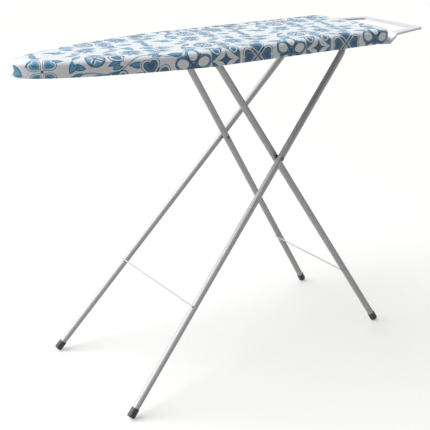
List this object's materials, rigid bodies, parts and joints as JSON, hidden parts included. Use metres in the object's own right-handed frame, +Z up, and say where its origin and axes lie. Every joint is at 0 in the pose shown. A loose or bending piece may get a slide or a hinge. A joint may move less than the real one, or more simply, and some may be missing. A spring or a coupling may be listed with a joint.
{
  "type": "ironing board",
  "caption": "Folding ironing board: padded fabric top on a steel frame with an iron rest, carried by two crossed tube frames that fold flat.",
  "frame": {"origin": "on the floor, under the middle of the overall length and width", "axes": "+X from the nose towards the square end and the iron rest, +Z up"},
  "size_m": [1.267, 0.4566, 0.937],
  "materials": {
    "cover_fabric": "printed cotton, matt",
    "pad_foam": "felt",
    "elastic": "braided cord",
    "sheet_steel": "satin powder coat",
    "leg_grey": "silver-grey powder coat",
    "rest_white": "gloss white powder coat",
    "wire_white": "white dip coat",
    "black_plastic": "moulded",
    "rivet_steel": "dulled, with grey paint",
    "zinc_steel": "bright zinc plate"
  },
  "bodies": {
    "board": {"fabric_cover": "cover_fabric", "foam_pad": "pad_foam", "hem_elastic": "elastic", "top_sheet": "sheet_steel", "rim_frame": "sheet_steel", "stiffener_left": "sheet_steel", "stiffener_right": "sheet_steel", "end_cross_member": "sheet_steel", "hinge_saddle_left": "zinc_steel", "hinge_saddle_right": "zinc_steel", "saddle_screws": "zinc_steel", "height_rack_left": "zinc_steel", "height_rack_right": "zinc_steel", "rack_screws": "zinc_steel", "iron_rest": "rest_white", "iron_rest_screws": "zinc_steel"},
    "outer_legs": {"outer_leg_tube": "leg_grey", "outer_brace_wire": "wire_white", "outer_foot_cap_left": "black_plastic", "outer_foot_cap_right": "black_plastic", "pivot_rivet_left": "rivet_steel", "pivot_rivet_right": "rivet_steel", "pivot_spacer_left": "black_plastic", "pivot_spacer_right": "black_plastic"},
    "inner_legs": {"inner_leg_tube": "leg_grey", "inner_brace_wire": "wire_white", "inner_foot_cap_left": "black_plastic", "inner_foot_cap_right": "black_plastic"}
  },
  "joints": [
    {"name": "fold", "type": "hinge", "parent": "board", "child": "outer_legs", "pos_m": [0.3423, 0, 0.8984], "axis": [0, 1, 0], "range_deg": [0, 41.5]},
    {"name": "frame_crossing", "type": "hinge", "parent": "outer_legs", "child": "inner_legs", "pos_m": [0.0785, 0, 0.607], "axis": [0, -1, 0], "range_deg": [0, 93]}
  ],
  "couplings": [
    {"joint": "frame_crossing", "follows": "fold", "ratio": 2.225}
  ]
}
